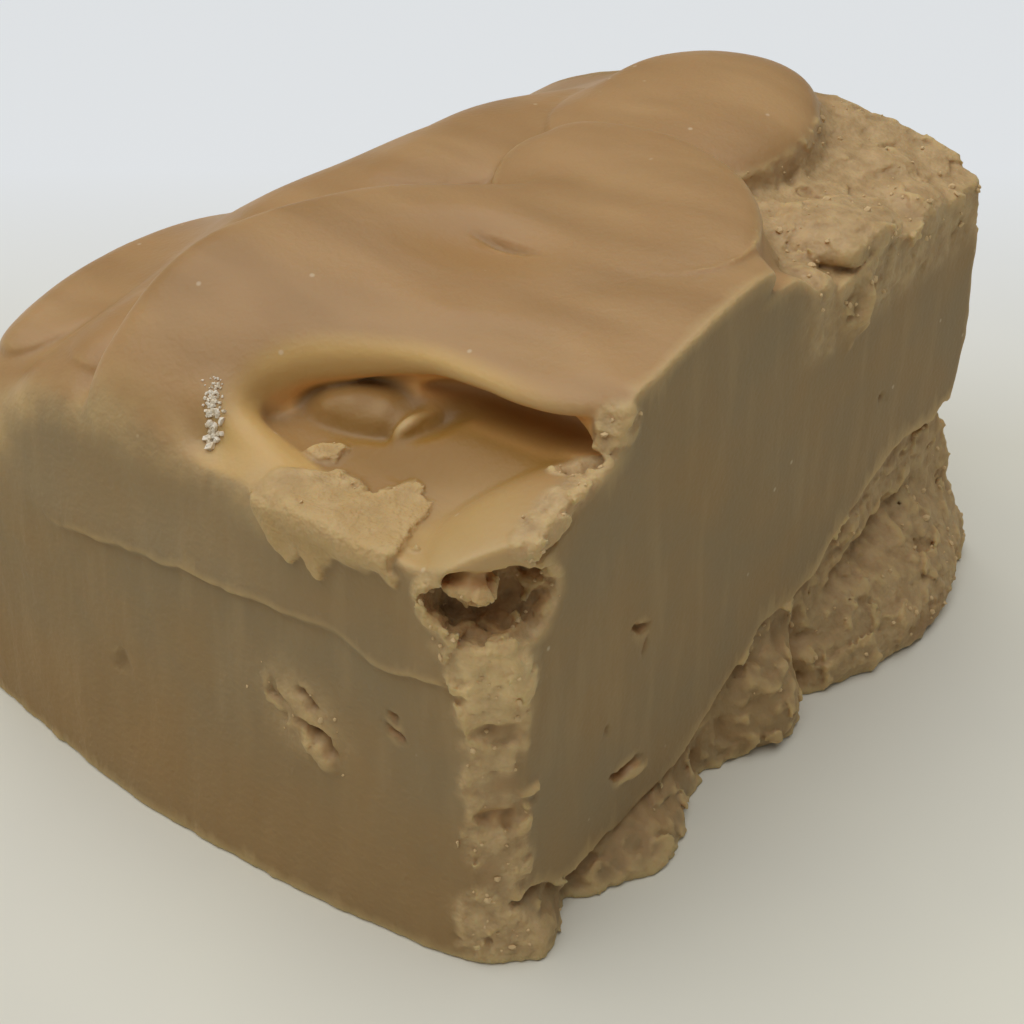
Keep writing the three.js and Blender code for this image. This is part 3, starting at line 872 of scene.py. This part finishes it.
def surface_of(field):
    """Points in millimetres and four-sided faces of the field's surface."""
    reach = 3 * VOXEL
    grid = openvdb.FloatGrid(background=reach)
    grid.copyFromArray(np.clip(field, -reach, reach))
    points, _, faces = grid.convertToPolygons(isovalue=0.0, adaptivity=0.0)
    return GRID_LOW + VOXEL * points, faces


def add_mesh(name, points, faces):
    mesh = bpy.data.meshes.new(name)
    mesh.from_pydata(points.tolist(), [], faces.tolist())
    mesh.validate()
    obj = bpy.data.objects.new(name, mesh)
    bpy.context.scene.collection.objects.link(obj)
    return obj


def thin_out(obj, limit):
    """Joins small faces until the mesh has no more than a number of triangles."""
    triangles = sum(len(face.vertices) - 2 for face in obj.data.polygons)
    if triangles <= limit:
        return
    thinner = obj.modifiers.new("thinner", "DECIMATE")
    thinner.ratio = limit / triangles
    graph = bpy.context.evaluated_depsgraph_get()
    mesh = bpy.data.meshes.new_from_object(obj.evaluated_get(graph))
    obj.modifiers.clear()
    obj.data = mesh


def running_mean(field, axis, half):
    """Mean over half a window to each side along an axis, with the ends repeated."""
    padding = [(0, 0)] * 3
    padding[axis] = (half + 1, half)
    total = np.cumsum(np.pad(field, padding, mode="edge"), axis=axis, dtype=np.float64)
    window = 2 * half + 1
    ahead = np.take(total, range(window, total.shape[axis]), axis=axis)
    behind = np.take(total, range(total.shape[axis] - window), axis=axis)
    return ((ahead - behind) / window).astype(np.float32)


def bulge_field(field):
    """How far the surface bulges out nearby: above zero on edges and below zero in creases."""
    half = round(BULGE_REACH / VOXEL)
    bulge = np.clip(field, -BULGE_REACH, BULGE_REACH)
    for axis in range(3):
        bulge = running_mean(bulge, axis, half)
    return bulge / BULGE_REACH


def read_field(field, points):
    """Values of a field at points, from the eight grid points around each."""
    place = (points - GRID_LOW) / VOXEL
    cell = np.clip(np.floor(place).astype(int), 0, np.array(field.shape) - 2)
    share = place - cell
    total = 0
    for step in np.ndindex(2, 2, 2):
        weight = np.prod(np.where(step, share, 1 - share), axis=1)
        total = total + weight * field[tuple((cell + step).T)]
    return total


def points_of(mesh):
    flat = np.empty(len(mesh.vertices) * 3, np.float32)
    mesh.vertices.foreach_get("co", flat)
    return from_metres(flat.reshape(-1, 3))


def normals_of(mesh):
    flat = np.empty(len(mesh.vertices) * 3, np.float32)
    mesh.vertices.foreach_get("normal", flat)
    return flat.reshape(-1, 3)


def set_mask(mesh, name, values):
    layer = mesh.attributes.new(name, "FLOAT", "POINT")
    layer.data.foreach_set("value", np.ascontiguousarray(values, np.float32))


def read_mask(mesh, name):
    values = np.empty(len(mesh.vertices), np.float32)
    mesh.attributes[name].data.foreach_get("value", values)
    return values


def cut_shares(x, y, z, normal):
    """How far places belong to the front, right and back cuts."""
    front = ease(*CUT_DEPTH, y - front_face(x, z)) * ease(*CUT_FACING, -normal[:, 1])
    right = ease(*CUT_DEPTH, right_face(y, z) - x) * ease(*CUT_FACING, normal[:, 0])
    back = ease(*BACK_DEPTH, back_face(x, z) - y)
    return front, right, back


def pocket_masks(x, y, z):
    off_lump = ease(*LUMP_OUTSIDE, ellipsoid(x, y, z, **POCKET_LUMPS[0]))
    # Painted shade on the ledge under the lip, a little weaker on the big lump.
    warm = np.clip(2 * hump(x, y, **LEDGE_SHADE_SPAN), 0, 1) * (LUMP_SHADE_SHARE + (1 - LUMP_SHADE_SHARE) * off_lump)
    return dict(
        ledge=warm * ease(*LEDGE_HEIGHTS["top"], z) * ease(*LEDGE_HEIGHTS["low"], z),
        # Painted glow of light in the hollow under the lip, off the big lump.
        hollow=under_lip(x, y, z) * off_lump,
        # Painted glow of light on the lip.
        lip=lip_share(x, y, z),
        # Painted shade in the dimple.
        dimple=hump(x, y, **DIMPLE) * ease(*DIMPLE_LOW, z),
        corner=hump(x, y, **PALE_CORNER) * ease(*PALE_CORNER_LOW, z),
    )


def front_masks(x, y, z, front):
    over_smear = z - along_line(x, SMEAR_LINE)
    smeared = ease(*SMEAR_PALE["start"], over_smear) * ease(*SMEAR_PALE["end"], over_smear)
    # Painted highlight along the brow.
    brow = ease(*BROW["fade"], z - along_line(x, BROW_LINE)) * ease(*BROW["depth"], y)
    return dict(
        # Painted shade low on the front cut, near the floor.
        low=front * ease(*FRONT_SHADE_LOW, z),
        smeared=front * smeared * ease(*SMEAR_PALE["right"], x),
        brow=brow * ease(*BROW["right"], x),
    )


def broken_masks(x, y, z, flap):
    pale = np.maximum(broken_share(x, y, z, along_line(y, FOOT_PALE)), flap)
    chips = ease(*CHIPS_PALE["inward"], (y - x) / math.sqrt(2))
    return dict(
        flap=flap,
        pale=np.clip(PALENESS * pale, 0, 1),
        # Painted shade inside the cavity.
        cavity=ease(*CAVITY_SHADE_INSIDE, ellipsoid(x, y, z, **CAVITY)),
        chips=chips * ease(*CHIPS_PALE["low"], z) * ease(*CHIPS_PALE["high"], z),
    )


def paint_masks(mesh, field):
    """Marks the folded skin, the pocket, the broken places and the bulging edges, for the material."""
    points = points_of(mesh)
    x, y, z = points.T
    front, right, back = cut_shares(x, y, z, normals_of(mesh))
    flap = flap_share(x, y, z) * ease(*FLAP_LOW, z)
    broken = np.maximum(broken_share(x, y, z), flap)
    masks = dict(
        skin=np.clip(1 - front - right - back, 0, 1) * (1 - broken),
        # The bulge drives a painted highlight on edges and painted shade in creases.
        bulge=read_field(bulge_field(field), points),
        **pocket_masks(x, y, z),
        **front_masks(x, y, z, front),
        **broken_masks(x, y, z, flap),
    )
    for name, values in masks.items():
        set_mask(mesh, name, values)


def make_fudge():
    field = fudge_field(*grid_axes())
    points, faces = surface_of(field)
    fudge = add_mesh("fudge_block", to_metres(points), faces)
    thin_out(fudge, TRIANGLE_LIMIT)
    fudge.data.shade_smooth()
    paint_masks(fudge.data, field)
    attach(fudge, "root")
    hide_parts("fudge")
    return fudge


# Crumbs and crystals.

def pebble():
    """Points and faces of a small round stone."""
    mesh = bmesh.new()
    bmesh.ops.create_icosphere(mesh, subdivisions=1, radius=1)
    points = np.array([point.co for point in mesh.verts])
    faces = np.array([[point.index for point in face.verts] for face in mesh.faces])
    mesh.free()
    return points, faces


def scatter(name, spots, outward, size, seed, square=False):
    """One mesh of small rough stones, half sunk at some spots."""
    random = np.random.default_rng(seed)
    points, faces = pebble()
    if square:
        points = np.clip(points, -STONE["square"], STONE["square"]) * STONE["square_growth"]
    radii = size[0] * (size[1] / size[0]) ** random.random(len(spots))
    stones = points * random.uniform(*STONE["stretch"], (len(spots), 1, 3))
    stones = stones * random.uniform(*STONE["rough"], (len(spots), len(points), 1))
    turns = np.linalg.qr(random.normal(size=(len(spots), 3, 3)))[0]
    turns = turns * np.sign(np.linalg.det(turns))[:, None, None]
    places = spots + outward * (STONE["lift"] * radii)[:, None]
    stones = np.einsum("nij,npj->npi", turns, stones) * radii[:, None, None] + places[:, None]
    indices = faces + len(points) * np.arange(len(spots))[:, None, None]
    obj = add_mesh(name, to_metres(stones.reshape(-1, 3)), indices.reshape(-1, 3))
    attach(obj, "root")
    return obj


def add_crumbs(fudge):
    """Loose crumbs on the broken places."""
    points = points_of(fudge.data)
    normals = normals_of(fudge.data)
    loose = read_mask(fudge.data, "pale") - CRUMBS_OFF["flap"] * read_mask(fudge.data, "flap")
    clear = (points[:, 2] > CRUMBS_OFF["low"]) * (normals[:, 2] > CRUMBS_OFF["overhang"])
    open_side = np.maximum(loose, 0) * clear
    random = np.random.default_rng(CRUMBS["seed"])
    chosen = random.choice(len(points), CRUMBS["count"], replace=False, p=open_side / open_side.sum())
    return scatter("fudge_crumbs", points[chosen], normals[chosen], CRUMBS["size"], CRUMBS["seed"])


def drop(fudge, spots):
    """Where spots in x and y fall on the top, with the outward directions there."""
    above = np.column_stack((spots, np.full(len(spots), GRID_HIGH[2])))
    hits = [fudge.ray_cast(Vector(start), Vector((0, 0, -1))) for start in to_metres(above)]
    return from_metres(np.array([hit[1] for hit in hits])), np.array([hit[2] for hit in hits])


def add_crystals(fudge):
    """A streak of white sugar crystals on the front fold."""
    random = np.random.default_rng(CRYSTALS["seed"])
    start, end = np.array(CRYSTALS["start"]), np.array(CRYSTALS["end"])
    along = random.random((CRYSTALS["count"], 1))
    spots = start + along * (end - start) + CRYSTALS["width"] * random.normal(size=(CRYSTALS["count"], 2))
    points, normals = drop(fudge, spots)
    return scatter("sugar_crystals", points, normals, CRYSTALS["size"], CRYSTALS["seed"], True)


# Materials.

class Nodes:
    """A material's node tree, with short ways to add and join nodes."""

    def __init__(self, name):
        self.material = bpy.data.materials.new(name)
        self.material.use_nodes = True
        self.tree = self.material.node_tree
        self.shader = self.tree.nodes["Principled BSDF"]

    def add(self, kind, **settings):
        node = self.tree.nodes.new(kind)
        for name, value in settings.items():
            setattr(node, name, value)
        return node

    def join(self, source, target):
        self.tree.links.new(source, target)

    def feed(self, socket, value):
        if isinstance(value, bpy.types.NodeSocket):
            self.join(value, socket)
        else:
            socket.default_value = value

    def put(self, name, value):
        self.feed(self.shader.inputs[name], value)

    def mask(self, name):
        return self.add("ShaderNodeAttribute", attribute_name=name).outputs["Fac"]

    def mix(self, share, first, second):
        node = self.add("ShaderNodeMix", data_type="RGBA")
        for socket, value in zip((node.inputs[0], node.inputs[6], node.inputs[7]), (share, first, second)):
            self.feed(socket, value)
        return node.outputs[2]

    def tint(self, colour, name, tint, strength=None):
        """A colour turned to a tint where a mask lies, at some strength."""
        share = self.mask(name)
        if strength is not None:
            share = self.maths("MULTIPLY", share, strength)
        return self.mix(share, colour, tint)

    def maths(self, operation, first, second):
        node = self.add("ShaderNodeMath", operation=operation)
        self.feed(node.inputs[0], first)
        self.feed(node.inputs[1], second)
        return node.outputs[0]

    def ramp(self, value, low, high, to_low=0.0, to_high=1.0):
        """Maps a value from one span to another, held at its ends."""
        node = self.add("ShaderNodeMapRange")
        for name, number in zip(("From Min", "From Max", "To Min", "To Max"), (low, high, to_low, to_high)):
            node.inputs[name].default_value = number
        self.join(value, node.inputs["Value"])
        return node.outputs["Result"]

    def place(self, turn=(0, 0, 0), stretch=(1, 1, 1)):
        """The place on the block, turned and stretched for a pattern that runs in one direction."""
        node = self.add("ShaderNodeMapping")
        node.inputs["Rotation"].default_value = [math.radians(angle) for angle in turn]
        node.inputs["Scale"].default_value = [1 / size for size in stretch]
        self.join(self.add("ShaderNodeTexCoord").outputs["Object"], node.inputs["Vector"])
        return node.outputs["Vector"]

    def noise(self, grain, detail=2.0, place=None):
        """Cloudy noise of a grain in millimetres, mostly between 0.3 and 0.7."""
        node = self.add("ShaderNodeTexNoise")
        node.inputs["Scale"].default_value = 1000 / grain
        node.inputs["Detail"].default_value = detail
        self.join(place or self.place(), node.inputs["Vector"])
        return node.outputs["Fac"]

    def specks(self, spacing, radius, share):
        """Small round specks: 1 on a share of the points scattered at a spacing in millimetres."""
        node = self.add("ShaderNodeTexVoronoi")
        node.inputs["Scale"].default_value = 1000 / spacing
        self.join(self.place(), node.inputs["Vector"])
        spot = self.ramp(node.outputs["Distance"], radius / spacing, 0.5 * radius / spacing)
        chosen = self.maths("LESS_THAN", node.outputs["Color"], share)
        return self.maths("MULTIPLY", spot, chosen)

    def bump(self, height, distance):
        """Bumps of a height in millimetres."""
        node = self.add("ShaderNodeBump")
        node.inputs["Distance"].default_value = distance / 1000
        self.join(height, node.inputs["Height"])
        return node.outputs["Normal"]


def skin_colour(nodes):
    """The folded skin: waxy brown, with streaks that run with the folds."""
    streaks = nodes.noise(6, 2, nodes.place(turn=(0, 0, 35), stretch=(3.5, 1, 1)))
    colour = nodes.mix(nodes.ramp(streaks, *NOISE_MIDDLE), SKIN_DARK, SKIN_LIGHT)
    clouds = nodes.ramp(nodes.noise(14, 1), 0.45, 0.7, 0, 0.5)
    return nodes.mix(clouds, colour, SKIN_WARM)


def cut_colour(nodes):
    """The knife cuts: duller and greyer, mottled, with drag marks that run up and down."""
    clouds = nodes.ramp(nodes.noise(9, 2), *NOISE_MIDDLE)
    colour = nodes.mix(clouds, CUT_GREY, CUT_WARM)
    drag = nodes.noise(2.2, 2, nodes.place(stretch=(1, 1, 6)))
    return nodes.mix(nodes.ramp(drag, 0.5, 0.75, 0, 0.45), colour, CUT_PALE)


def crumb_colour(nodes):
    """Broken places, mottled pale and dark."""
    grain = nodes.ramp(nodes.noise(1.6, 3), *NOISE_MIDDLE)
    return nodes.mix(grain, CRUMB_DARK, CRUMB_PALE)


def fudge_bump(nodes, skin, pale):
    """Fine grain, strongest on the breaks, weaker on the cuts and weakest on the smooth skin."""
    grain = nodes.noise(0.5, 1)
    rough = nodes.maths("MULTIPLY", nodes.ramp(skin, 0.2, 1.0, 1.0, 0.4), nodes.ramp(pale, 0, 1, 0.4, 1.0))
    return nodes.bump(nodes.maths("MULTIPLY", grain, rough), 0.25)


def folded_colour(nodes):
    """The folded top: skin with warm painted shade on the ledge and in the dimple, a painted glow of light in
    the pocket and on the lip, and a pale near corner.
    """
    # Painted shade on the ledge.
    colour = nodes.tint(skin_colour(nodes), "ledge", LEDGE_PAINTED_SHADE)
    # Painted glow of light in the hollow under the lip.
    colour = nodes.tint(colour, "hollow", HOLLOW_PAINTED_GLOW)
    # Painted shade in the dimple.
    colour = nodes.tint(colour, "dimple", DIMPLE_PAINTED_SHADE, TINTS["dimple"])
    # Painted glow of light on the lip.
    colour = nodes.tint(colour, "lip", LIP_PAINTED_GLOW)
    return nodes.tint(colour, "corner", FLAP_PALE)


def sides_colour(nodes):
    """The cut sides, with a warmer, darker painted shade low down near the floor and paler where they are
    smeared.
    """
    # Painted shade low on the cut sides.
    colour = nodes.tint(cut_colour(nodes), "low", CUT_LOW_PAINTED_SHADE, TINTS["low"])
    return nodes.tint(colour, "smeared", CUT_SMEARED, TINTS["smeared"])


def breaks_over(nodes, colour):
    """Lays the painted highlight of the brow, the broken places, the painted shade of the cavity, the flap
    and the chips over a colour.
    """
    # Painted highlight along the brow.
    colour = nodes.tint(colour, "brow", BROW_PAINTED_HIGHLIGHT, nodes.ramp(nodes.noise(5, 2), *NOISE_MOST))
    colour = nodes.tint(colour, "pale", crumb_colour(nodes))
    # Painted shade inside the cavity.
    colour = nodes.tint(colour, "cavity", CAVITY_PAINTED_SHADE, TINTS["cavity"])
    mottling = nodes.ramp(nodes.noise(2.2, 2), *NOISE_MOST, *TINTS["mottling"])
    colour = nodes.tint(colour, "flap", FLAP_PALE, mottling)
    return nodes.tint(colour, "chips", CHIP_CREAM, mottling)


def fudge_colour(nodes):
    colour = nodes.mix(nodes.mask("skin"), sides_colour(nodes), folded_colour(nodes))
    colour = nodes.mix(nodes.maths("MULTIPLY", nodes.specks(**SPECKS), TINTS["specks"]), colour, SUGAR)
    colour = breaks_over(nodes, colour)
    bulge = nodes.mask("bulge")
    # Painted highlight on bulging edges.
    colour = nodes.mix(nodes.ramp(bulge, *EDGE_HIGHLIGHT_TINT), colour, EDGE_PAINTED_HIGHLIGHT)
    # Painted shade in creases.
    return nodes.mix(nodes.ramp(bulge, *CREASE_SHADE_TINT), colour, CREASE_PAINTED_SHADE)


def fudge_material():
    nodes = Nodes("fudge")
    skin = nodes.mask("skin")
    nodes.put("Base Color", fudge_colour(nodes))
    nodes.put("Roughness", nodes.ramp(skin, 0, 1, CUT_DULL, SKIN_DULL))
    nodes.put("Normal", fudge_bump(nodes, skin, nodes.mask("pale")))
    nodes.put("Specular IOR Level", SHINE)
    nodes.put("Subsurface Weight", SCATTER["weight"])
    nodes.put("Subsurface Radius", SCATTER["radius"])
    nodes.put("Subsurface Scale", SCATTER["scale"])
    return nodes.material


def mottled_material(name, first, second, grain, detail, dull):
    """A material of two colours, for the loose crumbs and the sugar crystals."""
    nodes = Nodes(name)
    mottling = nodes.ramp(nodes.noise(grain, detail), *NOISE_MIDDLE)
    nodes.put("Base Color", nodes.mix(mottling, first, second))
    nodes.put("Roughness", dull)
    return nodes.material


def floor_material():
    """A pale floor, warm under the block and cooler away behind it."""
    nodes = Nodes("floor")
    apart = nodes.add("ShaderNodeSeparateXYZ")
    nodes.join(nodes.place(turn=(0, 0, -math.degrees(CAMERA_TURN))), apart.inputs[0])
    behind = nodes.ramp(apart.outputs["Y"], *FLOOR_TURNS)
    clouds = nodes.ramp(nodes.noise(45, 3), *NOISE_MOST)
    near = nodes.mix(clouds, FLOOR_SHADE, FLOOR_NEAR)
    nodes.put("Base Color", nodes.mix(behind, near, FLOOR_FAR))
    nodes.put("Roughness", 0.6)
    nodes.put("Specular IOR Level", 0.2)
    return nodes.material


# Stage, light and camera.

def add_floor():
    corners = FLOOR_SIZE * np.array([(-1, -1, 0), (1, -1, 0), (1, 1, 0), (-1, 1, 0)])
    floor = add_mesh("floor", corners, np.array([(0, 1, 2, 3)]))
    floor.data.materials.append(floor_material())


def add_lights():
    """A broad soft light from overhead, a little to the front left, in pale surroundings."""
    world = bpy.data.worlds.new("studio")
    world.use_nodes = True
    sky = world.node_tree.nodes["Background"]
    sky.inputs["Color"].default_value = SKY["colour"]
    sky.inputs["Strength"].default_value = SKY["strength"]
    bpy.context.scene.world = world
    light = bpy.data.lights.new("overhead", "SUN")
    light.energy = SUN["strength"]
    light.angle = SUN["angle"]
    light.color = SUN["colour"]
    overhead = bpy.data.objects.new("overhead", light)
    overhead.rotation_euler = Vector(SUN["direction"]).to_track_quat("-Z", "Y").to_euler()
    bpy.context.scene.collection.objects.link(overhead)


def add_camera():
    right = Vector((math.cos(CAMERA_TURN), math.sin(CAMERA_TURN), 0))
    ahead = Vector((-math.sin(CAMERA_TURN), math.cos(CAMERA_TURN), 0))
    up = math.sin(CAMERA_DOWN) * ahead + math.cos(CAMERA_DOWN) * Vector((0, 0, 1))
    back = right.cross(up)
    lens = bpy.data.cameras.new("camera")
    lens.lens = CAMERA_LENS
    lens.sensor_width = 36
    lens.clip_start = 0.01
    camera = bpy.data.objects.new("camera", lens)
    turn = Matrix((right, up, back)).transposed().to_4x4()
    camera.matrix_world = Matrix.Translation(Vector(to_metres(CAMERA_AT))) @ turn
    bpy.context.scene.collection.objects.link(camera)
    bpy.context.scene.camera = camera


fudge = make_fudge()
crumbs = add_crumbs(fudge)
crystals = add_crystals(fudge)
fudge.data.materials.append(fudge_material())
crumb_look = mottled_material("crumbs", CRUMB_PALE, CRUMB_LOOSE, grain=1.6, detail=4, dull=0.8)
crystal_look = mottled_material("sugar", SUGAR, SUGAR_WHITE, grain=0.5, detail=2, dull=0.35)
crumbs.data.materials.append(crumb_look)
crystals.data.materials.append(crystal_look)
add_floor()
add_lights()
add_camera()
bpy.context.scene.view_settings.view_transform = "Standard"
